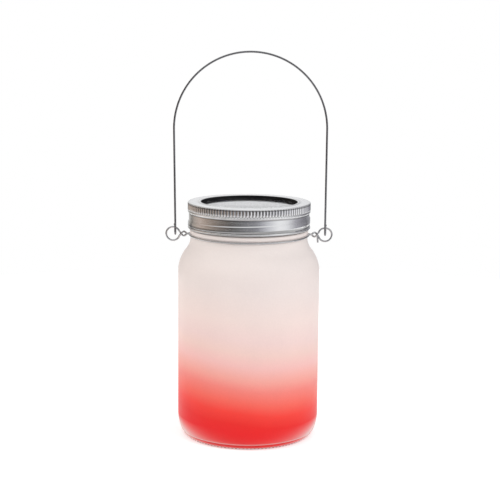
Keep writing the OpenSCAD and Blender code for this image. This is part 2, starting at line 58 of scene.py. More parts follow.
BEAD_Z, BEAD_H, BEAD_OUT = 121.581, 2.6, 0.45
FINISH_R, RIM_Z, MOUTH_R = 33.6, 137.381, 30.0
GLASS_T, WELL_Z, WELL_CORNER_R, WELL_CORNER_H = 3.0, 17.4, 8, 12.4
THREAD_PITCH, THREAD_TURNS, THREAD_R, THREAD_ROOT, THREAD_CREST = 5.08, 1.2, 34.95, 1.3, 0.45
THREAD_DROP, THREAD_FADE, THREAD_STEPS = 2.6, 9, 90
STIPPLE_BARS, STIPPLE_R, STIPPLE_L, STIPPLE_W, STIPPLE_H = 104, 35.3, 2.5, 0.62, 0.45


def pen_down(bm, r, z):
    """First point of a profile, at radius r and height z in millimetres."""
    return bmesh.ops.create_vert(bm, co=(r * MM, 0, z * MM))["vert"][0]


def line_to(bm, point, *stops):
    """Straight lines from a profile's last point to each (r, z) in turn."""
    for r, z in stops:
        point = bmesh.ops.extrude_vert_indiv(bm, verts=[point])["verts"][0]
        point.co = (r * MM, 0, z * MM)
    return point


def arc_to(bm, point, centre, sweep, steps, tall=1.0):
    """Arc from a profile's last point, sweep degrees from +r towards +z, stretched in height."""
    turned = bmesh.ops.spin(
        bm, geom=[point], cent=(centre[0] * MM, 0, centre[1] * MM / tall), axis=(0, -1, 0),
        angle=math.radians(sweep), steps=steps, space=Matrix.Diagonal((1, 1, 1 / tall, 1)))
    return next(v for v in turned["geom_last"] if isinstance(v, bmesh.types.BMVert))


def turn(bm, steps, cuts=0):
    """Turns the profile round Z; each step's hoops are then cut again, back onto their circle."""
    bmesh.ops.spin(bm, geom=bm.verts[:] + bm.edges[:], cent=(0, 0, 0), axis=(0, 0, 1),
                   angle=2 * math.pi, steps=steps, use_merge=True)
    bmesh.ops.remove_doubles(bm, verts=bm.verts[:], dist=1e-6)
    if cuts:
        hoops = [e for e in bm.edges if e.verts[0].co.xy.length > 1e-6
                 and abs(e.verts[0].co.z - e.verts[1].co.z) < 1e-7
                 and abs(e.verts[0].co.xy.length - e.verts[1].co.xy.length) < 1e-7]
        bmesh.ops.subdivide_edges(bm, edges=hoops, cuts=cuts, use_grid_fill=True)
        width = 2 * math.pi / steps
        for vert in bm.verts:
            off = math.atan2(vert.co.y, vert.co.x) % width - width / 2
            vert.co.xy *= math.cos(off) / math.cos(width / 2)
    bmesh.ops.recalc_face_normals(bm, faces=bm.faces[:])


def join(bm, part):
    """Adds a second mesh to the first."""
    mesh = bpy.data.meshes.new("part")
    part.to_mesh(mesh)
    part.free()
    bm.from_mesh(mesh)
    bpy.data.meshes.remove(mesh)


def placed(name, data, body, replaces):
    """Makes mesh or curve data a piece that rides on a body and stands for the CAD nodes."""
    piece = bpy.data.objects.new(name, data)
    bpy.context.scene.collection.objects.link(piece)
    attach(piece, body)
    if replaces:
        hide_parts(*replaces)
    return piece


def piece_from(bm, name, finish, body, replaces=(), smooth=40):
    """Makes the mesh a piece; edges sharper than smooth degrees stay crisp."""
    mesh = bpy.data.meshes.new(name)
    bm.to_mesh(mesh)
    bm.free()
    mesh.shade_smooth()
    mesh.set_sharp_from_angle(angle=math.radians(smooth))
    mesh.materials.append(finish)
    return placed(name, mesh, body, replaces)


def node_group(name, inputs, outputs):
    """Empty shader group with the sockets given as (name, kind, default)."""
    group = bpy.data.node_groups.new(name, "ShaderNodeTree")
    for label, kind, value in inputs:
        socket = group.interface.new_socket(label, in_out="INPUT", socket_type="NodeSocket" + kind)
        socket.default_value = value
    for label, kind in outputs:
        group.interface.new_socket(label, in_out="OUTPUT", socket_type="NodeSocket" + kind)
    return group


def add(tree, kind, links=(), **settings):
    """Adds a node, sets its properties, and links or fills its inputs."""
    node = tree.nodes.new("ShaderNode" + kind)
    for key, value in settings.items():
        setattr(node, key, value)
    for socket, value in dict(links).items():
        if isinstance(value, bpy.types.NodeSocket):
            tree.links.new(value, node.inputs[socket])
        else:
            node.inputs[socket].default_value = value
    return node


def math_node(tree, operation, *values):
    """Math node over sockets or numbers."""
    return add(tree, "Math", dict(enumerate(values)), operation=operation).outputs[0]


def blend_colors(tree, mask, low, high):
    """Colour low where the mask is 0 and high where it is 1."""
    mixed = add(tree, "Mix", {0: mask}, data_type="RGBA")
    for socket, value in (("A", low), ("B", high)):
        port = next(i for i in mixed.inputs if i.name == socket and i.type == "RGBA")
        if isinstance(value, bpy.types.NodeSocket):
            tree.links.new(value, port)
        else:
            port.default_value = (*value, 1)
    return next(o for o in mixed.outputs if o.type == "RGBA")


def material(name, color, roughness, **constants):
    """Material with one Principled shader; constants go on its own sockets."""
    made = bpy.data.materials.new(name)
    made.use_nodes = True
    shader = made.node_tree.nodes["Principled BSDF"]
    shader.inputs["Base Color"].default_value = (*color, 1)
    shader.inputs["Roughness"].default_value = roughness
    for key, value in constants.items():
        shader.inputs[key.replace("_", " ")].default_value = value
    return made, made.node_tree, shader


def ramp(tree, factor, stops, interpolation="LINEAR"):
    """Colour ramp over a factor, from (position, (r, g, b)) stops."""
    node = tree.nodes.new("ShaderNodeValToRGB")
    tree.links.new(factor, node.inputs[0])
    node.color_ramp.interpolation = interpolation
    elements = node.color_ramp.elements
    while len(elements) < len(stops):
        elements.new(0.5)
    for element, (position, color) in zip(elements, stops):
        element.position = position
        element.color = (*color, 1)
    return node.outputs[0]


def axes_of(tree):
    """Object coordinates, whole and split."""
    place = add(tree, "TexCoord").outputs["Object"]
    return place, add(tree, "SeparateXYZ", {0: place}).outputs


# Grain: fine bumps and an uneven gloss, in the object's own coordinates
GRAIN = node_group(
    "surface_grain",
    [("Scale", "Float", 800.0), ("Bump", "Float", 0.1), ("Depth", "Float", 0.0001),
     ("Smoothest", "Float", 0.3), ("Roughest", "Float", 0.4), ("Stretch", "Vector", (1, 1, 1))],
    [("Roughness", "Float"), ("Normal", "Vector"), ("Patches", "Float")])
ins, outs = GRAIN.nodes.new("NodeGroupInput"), GRAIN.nodes.new("NodeGroupOutput")
place, _ = axes_of(GRAIN)
stretched = add(GRAIN, "VectorMath", {0: place, 1: ins.outputs["Stretch"]},
                operation="MULTIPLY").outputs[0]
fine = add(GRAIN, "TexNoise", {"Vector": stretched, "Scale": ins.outputs["Scale"], "Detail": 3.0})
patches = add(GRAIN, "TexNoise", {
    "Vector": stretched, "Scale": math_node(GRAIN, "MULTIPLY", ins.outputs["Scale"], 0.06),
    "Detail": 2.0})
gloss = add(GRAIN, "MapRange", {
    "Value": math_node(GRAIN, "ADD", fine.outputs[0], patches.outputs[0]), "From Min": 0.7,
    "From Max": 1.3, "To Min": ins.outputs["Smoothest"], "To Max": ins.outputs["Roughest"]})
bump = add(GRAIN, "Bump", {"Height": fine.outputs[0], "Strength": ins.outputs["Bump"],
                           "Distance": ins.outputs["Depth"]})
GRAIN.links.new(gloss.outputs[0], outs.inputs["Roughness"])
GRAIN.links.new(bump.outputs[0], outs.inputs["Normal"])
GRAIN.links.new(patches.outputs[0], outs.inputs["Patches"])


def grain(tree, shader, scale, bump, gloss, depth=0.0001, stretch=(1, 1, 1)):
    """Places the grain group and feeds the shader's roughness, over the gloss pair, and normal."""
    node = add(tree, "Group", {}, node_tree=GRAIN)
    for socket, value in (("Scale", scale), ("Bump", bump), ("Depth", depth), ("Stretch", stretch),
                          ("Smoothest", gloss[0]), ("Roughest", gloss[1])):
        node.inputs[socket].default_value = value
    tree.links.new(node.outputs["Roughness"], shader.inputs["Roughness"])
    tree.links.new(node.outputs["Normal"], shader.inputs["Normal"])
    return node.outputs["Patches"]


def uneven(tree, shader, patches, dark, light):
    """Base colour that wanders between two shades with the grain's patches."""
    tree.links.new(ramp(tree, patches, [(0.32, dark), (0.68, light)]), shader.inputs["Base Color"])


# Pigment from the foot up: height in millimetres and the colour there
PIGMENT = [
    (0.0, (0.88, 0.055, 0.055)),
    (5.0, (0.87, 0.040, 0.040)),
    (7.0, (0.86, 0.012, 0.013)),
    (12.0, (0.86, 0.010, 0.013)),
    (18.0, (0.86, 0.016, 0.014)),
    (25.0, (0.94, 0.052, 0.038)),
    (31.0, (0.95, 0.140, 0.105)),
    (38.5, (0.93, 0.250, 0.210)),
    (45.5, (0.93, 0.420, 0.365)),
    (52.5, (0.92, 0.545, 0.515)),
    (60.0, (0.895, 0.640, 0.585)),
    (67.0, (0.885, 0.675, 0.645)),
    (78.0, (0.885, 0.733, 0.692)),
    (96.0, (0.835, 0.740, 0.712)),
    (118.0, (0.815, 0.740, 0.712)),
]
PIGMENT_TOP = 120.0
# The pigment's level leans: the red reaches higher on the left and back and lower on the right and
# front. This is partly uneven spraying and partly painted shade, darker on the sides away from the
# key light at the front right.
FOG_AND_SHADE_TILT, FOG_DRIFT = (0.08, -0.06, 1.0), 6 * MM
# Painted light at the heel: its grazing edges are paled, for floor light reflected off and carried
# through the thick glass there, and a painted highlight line runs along the top edge of the foot
EDGE_GLOW_COLOR, EDGE_GLOW_LOW, EDGE_GLOW_HIGH, EDGE_GLOW_GAIN = (0.95, 0.72, 0.70), 5, 13, 2.2
LIT_LINE_Z, LIT_LINE_H, LIT_LINE_GAIN = 3.6, 0.5, 0.25

jar_material, tree, shader = material(
    "frosted_ombre_glass", (0.85, 0.6, 0.55), 0.5, IOR=1.5, Transmission_Weight=0.15,
    Coat_Weight=0.22, Coat_Roughness=0.22, Specular_IOR_Level=0.15)
place, axes = axes_of(tree)
drift = add(tree, "TexNoise", {"Vector": place, "Scale": 18.0, "Detail": 1.0})
tilt = add(tree, "VectorMath", {0: place, 1: FOG_AND_SHADE_TILT}, operation="DOT_PRODUCT").outputs["Value"]
cloud = math_node(tree, "MULTIPLY_ADD", drift.outputs[0], FOG_DRIFT, tilt)
level = add(tree, "MapRange", {"Value": cloud, "From Min": FOG_DRIFT / 2,
                               "From Max": FOG_DRIFT / 2 + PIGMENT_TOP * MM})
fogged = ramp(tree, level.outputs[0], [(z / PIGMENT_TOP, color) for z, color in PIGMENT])
speck = add(tree, "TexNoise", {"Vector": place, "Scale": 900.0, "Detail": 2.0})
mottle = add(tree, "TexNoise", {"Vector": place, "Scale": 70.0, "Detail": 3.0})
both = math_node(tree, "ADD", speck.outputs[0], mottle.outputs[0])
speckled = add(tree, "MapRange", {"Value": both, "From Max": 2.0, "To Min": 0.94, "To Max": 1.06})
tint = add(tree, "VectorMath", {0: fogged}, operation="SCALE")
tree.links.new(speckled.outputs[0], tint.inputs["Scale"])
# Painted light: the heel's grazing edges pale towards a pinkish white, for light reflected off and
# carried through the glass there
edge = math_node(tree, "POWER", add(tree, "LayerWeight").outputs["Facing"], 2.5)
low = add(tree, "MapRange", {"Value": axes["Z"], "From Min": EDGE_GLOW_HIGH * MM,
                             "From Max": EDGE_GLOW_LOW * MM})
edge_glow = math_node(tree, "MULTIPLY", math_node(tree, "MULTIPLY", edge, low.outputs[0]), EDGE_GLOW_GAIN)
# Painted highlight: a pale line along the top edge of the foot, where it catches the light
lit_line = math_node(tree, "COMPARE", axes["Z"], LIT_LINE_Z * MM, LIT_LINE_H * MM)
lit_line = math_node(tree, "MULTIPLY", lit_line, LIT_LINE_GAIN)
painted_light = add(tree, "Clamp", {0: math_node(tree, "ADD", edge_glow, lit_line)}).outputs[0]
tree.links.new(blend_colors(tree, painted_light, tint.outputs[0], EDGE_GLOW_COLOR), shader.inputs["Base Color"])
grain(tree, shader, scale=1500.0, bump=0.15, gloss=(0.46, 0.56), depth=0.00008)

bm = bmesh.new()
pen = pen_down(bm, 0, DISH_Z)
pen = line_to(bm, pen, (24, DISH_Z), (27.4, 1.5), (RING_IN_R, BASE_Z), (RING_OUT_R, BASE_Z))
pen = arc_to(bm, pen, (RING_OUT_R, BASE_Z + 0.9), 60, 3)
pen = line_to(bm, pen, (38.1, 0.9), (38.7, 1.35), (FOOT_R - 0.08, 1.9), (FOOT_R, 2.4),
              (FOOT_R, FOOT_TOP_Z - 0.3), (FOOT_R - 0.12, FOOT_TOP_Z))
foot = HEEL_R - HEEL_IN
heel_z = FOOT_TOP_Z + FOOT_GAP
start = math.degrees(math.acos(1 - heel_z / HEEL_H))
heel_r = foot + HEEL_IN * math.sin(math.radians(start))
pen = line_to(bm, pen, (FOOT_R + 0.25, heel_z - 0.2), (heel_r - 0.25, heel_z - 0.12),
              (heel_r, heel_z))
pen = arc_to(bm, pen, (foot, HEEL_H), 90 - start, 14, tall=HEEL_H / HEEL_IN)
pen = line_to(bm, pen, (HEEL_R, 30), (HEEL_R, 50), (HEEL_R, 75), (HEEL_R, WALL_TOP_Z))
pen = arc_to(bm, pen, (SHOULDER_C, WALL_TOP_Z), SHOULDER_SWEEP, 14)
pen = arc_to(bm, pen, (FILLET_C, FILLET_Z), -SHOULDER_SWEEP, 10)
pen = line_to(bm, pen, (NECK_R, BEAD_Z))
pen = arc_to(bm, pen, (NECK_R, BEAD_Z + BEAD_H / 2), 180, 10, tall=BEAD_H / 2 / BEAD_OUT)
pen = line_to(bm, pen, (FINISH_R, BEAD_Z + BEAD_H + 0.6), (FINISH_R, RIM_Z - 1))
pen = arc_to(bm, pen, (FINISH_R - 1, RIM_Z - 1), 90, 5)
pen = line_to(bm, pen, (MOUTH_R + 0.8, RIM_Z))
pen = arc_to(bm, pen, (MOUTH_R + 0.8, RIM_Z - 0.8), 90, 4)
inner_r = SHOULDER_R - GLASS_T
mouth_sweep = math.degrees(math.acos((MOUTH_R - SHOULDER_C) / inner_r))
pen = line_to(bm, pen, (MOUTH_R, 125),
              (MOUTH_R, WALL_TOP_Z + inner_r * math.sin(math.radians(mouth_sweep))))
pen = arc_to(bm, pen, (SHOULDER_C, WALL_TOP_Z), -mouth_sweep, 14)
pen = line_to(bm, pen, (HEEL_R - GLASS_T, 60), (HEEL_R - GLASS_T, WELL_Z))
pen = arc_to(bm, pen, (HEEL_R - GLASS_T - WELL_CORNER_R, WELL_Z), -90, 10,
             tall=WELL_CORNER_H / WELL_CORNER_R)
pen = line_to(bm, pen, (15, 5.4), (0, 5.6))
turn(bm, 48, cuts=3)

# Thread: a four-sided ridge carried up round the finish, sinking into the glass at both ends
thread = bmesh.new()
ridge = bmesh.ops.create_circle(thread, segments=4, radius=1)["verts"]
ROOT_R = FINISH_R - 0.4
thread_rise = THREAD_PITCH * THREAD_TURNS
thread_z = RIM_Z - THREAD_DROP - thread_rise
for vert, (r, z) in zip(ridge, [(ROOT_R, -THREAD_ROOT), (THREAD_R, -THREAD_CREST),
                                (THREAD_R, THREAD_CREST), (ROOT_R, THREAD_ROOT)]):
    vert.co = (r * MM, 0, (thread_z + z) * MM)
bmesh.ops.spin(thread, geom=ridge + thread.edges[:], cent=(0, 0, 0), axis=(0, 0, 1),
               dvec=(0, 0, thread_rise / THREAD_STEPS * MM), angle=2 * math.pi * THREAD_TURNS,
               steps=THREAD_STEPS)
for vert in thread.verts:
    along = (vert.co.z / MM - thread_z) / thread_rise
    out = max(0.0, min(1.0, along * THREAD_FADE, (1 - along) * THREAD_FADE))
    radius = vert.co.xy.length / MM
    if radius > FINISH_R:
        vert.co.xy *= (FINISH_R - 0.1 + (radius - FINISH_R + 0.1) * out) / radius
bmesh.ops.holes_fill(thread, edges=[e for e in thread.edges if e.is_boundary], sides=4)
bmesh.ops.recalc_face_normals(thread, faces=thread.faces[:])
join(bm, thread)

# Stipple: short rounded bars across the bearing ring, down to the surface it stands on
bars = bmesh.new()
bmesh.ops.create_uvsphere(bars, u_segments=8, v_segments=5, radius=1,
                          matrix=Matrix.Translation((STIPPLE_R * MM, 0, STIPPLE_H * MM))
                          @ Matrix.Diagonal((STIPPLE_L * MM, STIPPLE_W * MM, STIPPLE_H * MM, 1)))
bmesh.ops.spin(bars, geom=bars.verts[:] + bars.edges[:] + bars.faces[:], cent=(0, 0, 0),
               axis=(0, 0, 1), angle=2 * math.pi * (1 - 1 / STIPPLE_BARS),
               steps=STIPPLE_BARS - 1, use_duplicate=True)
bmesh.ops.recalc_face_normals(bars, faces=bars.faces[:])
join(bm, bars)
piece_from(bm, "jar_glass", jar_material, "jar", ["glass_jar"])


# ---- Screw band --------------------------------------------------------------------------
# Tinned steel sheet, drawn and rolled: a knurled shoulder, a bead under it, one turn of
# thread pressed out of the skirt, and a curled foot. It is satin, with fine marks round it, and
# painted shade darkens its creases and the troughs of the knurl.
BAND_R, SKIN_R, BAND_Z, BAND_TOP, SHEET_T = 36.25, 35.68, 124.731, 140.331, 0.32
FLUTES, FLUTE_CUTS, FLUTE_DEPTH = 120, 5, 0.48
KNURL_LOW, KNURL_HIGH = 135.7, 139.85
RIDGE_Z, RIDGE_OUT = 128.65, 0.5
RIDGE_ENDS, RIDGE_FADE = (-0.95, 0.42), 8
# The pressed thread's section: height off its middle line and share of RIDGE_OUT
RIDGE_SLOPES = [(2.3, 0.0), (1.2, 1.0), (-1.2, 1.0), (-2.5, 0.35)]
# Height and how much of the metal's colour is left there under painted shade; the creases of the
# curl, bead and lip are darkest
CREASE_SHADE = [
    (124.75, 0.25), (125.0, 0.4), (125.3, 0.8), (125.55, 1.0), (126.0, 1.0), (126.25, 0.45),
    (127.5, 0.45), (127.75, 0.7), (128.1, 1.0), (133.35, 1.0), (133.6, 0.6), (134.1, 0.5),
    (134.4, 0.8), (134.6, 1.0), (135.5, 1.0), (135.7, 0.75), (136.1, 0.8), (136.5, 1.0),
    (138.7, 1.0), (139.1, 0.7), (139.3, 0.42), (139.7, 0.42), (139.95, 0.85), (140.15, 1.0)]
# Painted shade in the knurl's troughs, and a brighter rubbed colour on its crests
FLUTE_SHADE, CREST_COLOR = 0.65, (0.95, 0.95, 0.96)

band_material, tree, shader = material(
    "satin_tinplate", (0.76, 0.765, 0.775), 0.2, Metallic=1.0)
patches = grain(tree, shader, scale=60.0, bump=0.05, gloss=(0.15, 0.25), depth=0.00003,
                stretch=(1, 1, 22))
_, axes = axes_of(tree)
height = add(tree, "MapRange", {"Value": axes["Z"], "From Min": BAND_Z * MM,
                                "From Max": BAND_TOP * MM})
# Painted shade by height: the colour darkens in the creases of the curl, bead and lip
height_shade = ramp(tree, height.outputs[0],
            [((z - BAND_Z) / (BAND_TOP - BAND_Z), (v, v, v)) for z, v in CREASE_SHADE])
steel = ramp(tree, patches, [(0.32, (0.72, 0.725, 0.735)), (0.68, (0.79, 0.795, 0.80))])
around = math_node(tree, "ARCTAN2", axes["X"], math_node(tree, "MULTIPLY", axes["Y"], -1.0))
crest = math_node(tree, "PINGPONG", math_node(tree, "MULTIPLY", around, FLUTES / math.pi), 1.0)
in_knurl = math_node(tree, "COMPARE", axes["Z"], (KNURL_LOW + KNURL_HIGH) / 2 * MM,
                     (KNURL_HIGH - KNURL_LOW) / 2 * MM)
# Painted shade: the flute troughs darken, and the creases' painted shade is multiplied in
trough = math_node(tree, "POWER", math_node(tree, "SUBTRACT", 1.0, crest), 2.0)
trough_shade = math_node(tree, "MULTIPLY", math_node(tree, "MULTIPLY", trough, in_knurl), FLUTE_SHADE)
lit_share = math_node(tree, "MULTIPLY", height_shade, math_node(tree, "SUBTRACT", 1.0, trough_shade))
polished = math_node(tree, "MULTIPLY", crest, in_knurl)
bright = blend_colors(tree, polished, steel, CREST_COLOR)
tree.links.new(blend_colors(tree, lit_share, (0, 0, 0), bright), shader.inputs["Base Color"])

bm = bmesh.new()
pen = pen_down(bm, SKIN_R - 0.5, BAND_Z + 0.55)
pen = line_to(bm, pen, (SKIN_R - 0.35, BAND_Z + 0.15), (SKIN_R - 0.1, BAND_Z))
pen = arc_to(bm, pen, (SKIN_R - 0.1, BAND_Z + 0.7), 150, 8, tall=0.7 / 0.6)
pen = line_to(bm, pen, *[(SKIN_R - 0.05, BAND_Z + 1.42 + 0.34 * i) for i in range(22)])
pen = line_to(bm, pen, (SKIN_R - 0.16, 133.7), (SKIN_R - 0.16, 134.1), (SKIN_R, 134.3))
pen = arc_to(bm, pen, (SKIN_R, 134.85), 150, 7)
pen = line_to(bm, pen, (BAND_R - 0.5, KNURL_LOW - 0.1), (BAND_R - 0.05, KNURL_LOW + 0.1),
              (BAND_R, KNURL_LOW + 0.35), (BAND_R, 137.6), (BAND_R, KNURL_HIGH - 0.3),
              (BAND_R, KNURL_HIGH - 0.05), (BAND_R - 0.03, KNURL_HIGH + 0.1))
pen = line_to(bm, pen, (BAND_R - 0.14, 140.14), (BAND_R - 0.36, 140.28), (BAND_R - 0.9, BAND_TOP),
              (33.0, 140.31), (31.4, 140.24), (30.0, 140.29))
pen = arc_to(bm, pen, (29.3, 139.85), 100, 7, tall=0.46 / 0.6)
turn(bm, FLUTES, cuts=FLUTE_CUTS)


def between(points, x):
    """Eased curve through falling (x, y) points; 0 beyond them."""
    for (x0, y0), (x1, y1) in zip(points, points[1:]):
        if x1 <= x <= x0:
            share = (x - x1) / (x0 - x1)
            share = share * share * (3 - 2 * share)
            return y1 + (y0 - y1) * share
    return 0.0


for vert in bm.verts:
    r, z = vert.co.xy.length / MM, vert.co.z / MM
    across = math.atan2(vert.co.x, -vert.co.y)
    if KNURL_LOW < z < KNURL_HIGH and r > BAND_R - 0.3:
        r -= FLUTE_DEPTH * abs(across * FLUTES / math.pi % 2 - 1)
    elif BAND_Z + 1.6 < z < 134:
        for lap in (-1, 0, 1):
            turns = across / (2 * math.pi) + lap
            fade = min(1, max(0, (turns - RIDGE_ENDS[0]) * RIDGE_FADE),
                       max(0, (RIDGE_ENDS[1] - turns) * RIDGE_FADE))
            press = RIDGE_OUT * fade * between(RIDGE_SLOPES, z - RIDGE_Z - THREAD_PITCH * turns)
            r = max(r, SKIN_R - 0.05 + press) if press > 0 else r
    vert.co.xy *= min(r, BAND_R) * MM / vert.co.xy.length
bmesh.ops.recalc_face_normals(bm, faces=bm.faces[:])
bmesh.ops.solidify(bm, geom=bm.faces[:], thickness=SHEET_T * MM)
piece_from(bm, "lid_band", band_material, "band", ["screw_band"], smooth=60)


# ---- Neck wire ---------------------------------------------------------------------------
# One length of drawn steel wire. It lies round the neck under the glass bead; at each side it
# is twisted on itself and bent round into an eye, and one cut end is left beside the twist.
NECK_WIRE_D, NECK_WIRE_Z, LOOP_R = 1.1, 120.881, 35.2
STRAND_GAP, BEND_R, TWIST_R, TWIST_L = 0.6, 1.8, 1.3, 3.6
EYE_R, EYE_DIP, EYE_GAP, CUT_END_L = 4.0, 0.5, 148, 4.8
POINT_GAP = 0.02

wire_material, tree, shader = material("drawn_wire", (0.62, 0.62, 0.63), 0.18, Metallic=1.0)
patches = grain(tree, shader, scale=500.0, bump=0.08, gloss=(0.1, 0.24), depth=0.00002)
uneven(tree, shader, patches, (0.36, 0.36, 0.37), (0.62, 0.62, 0.63))


def round_arc(centre, radius, start, end, steps, plane):
    """Points along an arc in the plane given by its two directions; angles in degrees."""
    first, second = (Vector(direction) for direction in plane)
    turns = [math.radians(start + (end - start) * i / steps) for i in range(steps + 1)]
    return [Vector(centre) + radius * (math.cos(t) * first + math.sin(t) * second) for t in turns]


def through(stops, steps):
    """Smooth line through a few points."""
    p = [Vector(s) for s in stops]
    line = []
    for i in range(len(p) - 1):
        a, b, c, d = p[max(i - 1, 0)], p[i], p[i + 1], p[min(i + 2, len(p) - 1)]
        for step in range(steps):
            t = step / steps
            line.append((2 * b + (c - a) * t + (2 * a - 5 * b + 4 * c - d) * t * t
                         + (3 * b - a - 3 * c + d) * t ** 3) / 2)
    return line + [p[-1]]


def wire(name, paths, diameter, finish, body, replaces, closed=False):
    """Round wire along lines of points in millimetres; the first may close on itself."""
    data = bpy.data.curves.new(name, "CURVE")
    data.dimensions = "3D"
    data.bevel_depth, data.bevel_resolution = diameter / 2 * MM, 3
    data.use_fill_caps = True
    for i, path in enumerate(paths):
        points = [path[0]] + [q for p, q in zip(path, path[1:]) if (q - p).length > POINT_GAP]
        spline = data.splines.new("POLY")
        spline.points.add(len(points) - 1)
        for target, point in zip(spline.points, points):
            target.co = (*(point * MM), 1)
        spline.use_cyclic_u = closed and i == 0
        spline.use_smooth = True
    data.materials.append(finish)
    return placed(name, data, body, replaces)


bend_sweep = math.degrees(math.asin((BEND_R + STRAND_GAP) / (LOOP_R + BEND_R)))
bend_x = (LOOP_R + BEND_R) * math.cos(math.radians(bend_sweep))
cross_x = bend_x + TWIST_L
eye_x = cross_x + EYE_R + EYE_DIP
flat, upright = ((1, 0, 0), (0, 1, 0)), ((1, 0, 0), (0, 0, -1))
eye = round_arc((eye_x, 0, 0), EYE_R, EYE_GAP, -EYE_GAP, 60, upright)
quarter = round_arc((0, 0, 0), LOOP_R, -90, -bend_sweep, 40, flat)
quarter += round_arc((bend_x, -BEND_R - STRAND_GAP, 0), BEND_R, 180 - bend_sweep, 90, 10, flat)[1:]
quarter += through([
    (bend_x + 0.02, -STRAND_GAP, 0),
    (bend_x + TWIST_L * 0.22, -STRAND_GAP, TWIST_R * 0.6),
    (bend_x + TWIST_L * 0.5, 0, TWIST_R),
    (bend_x + TWIST_L * 0.8, STRAND_GAP * 0.9, TWIST_R * 0.5),
    (cross_x, STRAND_GAP, -0.35),
    (eye_x - EYE_R + 0.12, STRAND_GAP * 0.4, -1.2),
    eye[0]], 8)[1:]
half = quarter + eye[1:] + [Vector((p.x, -p.y, -p.z)) for p in reversed(quarter[:-1])]
loop = half + [Vector((-p.x, -p.y, p.z)) for p in half[1:-1]]
cut_end = [Vector((cross_x - 0.1, -STRAND_GAP, 0.2))]
cut_end.append(cut_end[0] + CUT_END_L * Vector((0.07, 0, -0.9975)))
lift = Vector((0, 0, NECK_WIRE_Z))
wire("neck_wire_loop", [[p + lift for p in loop], [p + lift for p in cut_end]], NECK_WIRE_D,
     wire_material, "jar", ["neck_wire"], closed=True)


# ---- Bail --------------------------------------------------------------------------------
# One length of drawn wire bent round to a half circle, with two straight legs. Each leg ends
# in a hook sprung through its eye, the return of it lying a little to one side of the leg.
BAIL_D, BAIL_R, BAIL_TOP_Z, PIVOT_Z = 1.2, 44.7, 227.881, 124.881
ARCH_X, HOOK_X = 0.43, (-43.5, 44.9)
HOOK_R, HOOK_BEND, HOOK_TIP, HOOK_ASIDE = 1.6, 2.6, 78, 0.5

bail_material, tree, shader = material("bail_wire", (0.22, 0.22, 0.23), 0.2, Metallic=1.0)
patches = grain(tree, shader, scale=400.0, bump=0.08, gloss=(0.16, 0.3), depth=0.00002)
uneven(tree, shader, patches, (0.19, 0.19, 0.20), (0.25, 0.25, 0.26))


def hook_at(x, aside):
    """Leg's foot, bent up behind the eye's wire and over it, drifting aside as it goes."""
    across = ((0, 1, 0), (0, 0, 1))
    line = round_arc((x, 0, PIVOT_Z - HOOK_BEND), HOOK_R, 180, 360, 20, across)
    line += round_arc((x, 0, PIVOT_Z), HOOK_R, 0, HOOK_TIP, 10, across)
    return [p + Vector((aside * i / (len(line) - 1), 0, 0)) for i, p in enumerate(line)]


arch = round_arc((ARCH_X, -HOOK_R, BAIL_TOP_Z - BAIL_R), BAIL_R, 180, 0, 120,
                 ((1, 0, 0), (0, 0, 1)))
left, right = hook_at(HOOK_X[0], -HOOK_ASIDE), hook_at(HOOK_X[1], HOOK_ASIDE)
wire("bail_wire", [left[::-1] + arch + right], BAIL_D, bail_material, "bail",
     ["bail"])


# ---- Seal and insert ----------------------------------------------------------------------
# The insert is a black tub moulded in ABS, with a cover and a battery hatch under it. Its
# flange is clamped on a silicone ring between the glass and the band.
seal_material, tree, shader = material(
    "silicone", (0.80, 0.80, 0.78), 0.5, Transmission_Weight=0.2, Subsurface_Weight=0.2,
    Subsurface_Scale=0.001)
patches = grain(tree, shader, scale=900.0, bump=0.1, gloss=(0.45, 0.6))
uneven(tree, shader, patches, (0.74, 0.74, 0.71), (0.84, 0.84, 0.82))
abs_material, tree, shader = material("black_abs", (0.003, 0.003, 0.004), 0.5,
                                      Specular_IOR_Level=0.12)
patches = grain(tree, shader, scale=1400.0, bump=0.12, gloss=(0.34, 0.46))
uneven(tree, shader, patches, (0.004, 0.004, 0.005), (0.008, 0.008, 0.009))


# How near corners merge, in metres, and from how many degrees an edge is kept and is rounded
MERGE, FLAT, CORNER = 2e-6, 1.5, 35


def softened(node, name, finish, body, width=0.0, smooth=35):
    """Copy of a CAD node, merged, its corners rounded by width, standing for that node."""
    bm = bmesh.new()
    bm.from_mesh(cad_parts[node].data)
    bmesh.ops.remove_doubles(bm, verts=bm.verts[:], dist=MERGE)
    if width:
        bmesh.ops.dissolve_limit(bm, angle_limit=math.radians(FLAT), verts=bm.verts[:],
                                 edges=bm.edges[:])
        corners = [e for e in bm.edges
                   if e.is_manifold and abs(e.calc_face_angle(0)) > math.radians(CORNER)]
        bmesh.ops.bevel(bm, geom=corners, offset=width * MM, offset_type="OFFSET",
                        affect="EDGES", segments=2, profile=0.5, material=-1,
                        clamp_overlap=True)
    return piece_from(bm, name, finish, body, [node], smooth)


softened("insert_housing", "insert_tub", abs_material, "insert", 0.2)
softened("bottom_cover", "insert_bottom", abs_material, "insert", 0.15)
softened("battery_door", "battery_hatch", abs_material, "door", 0.15)

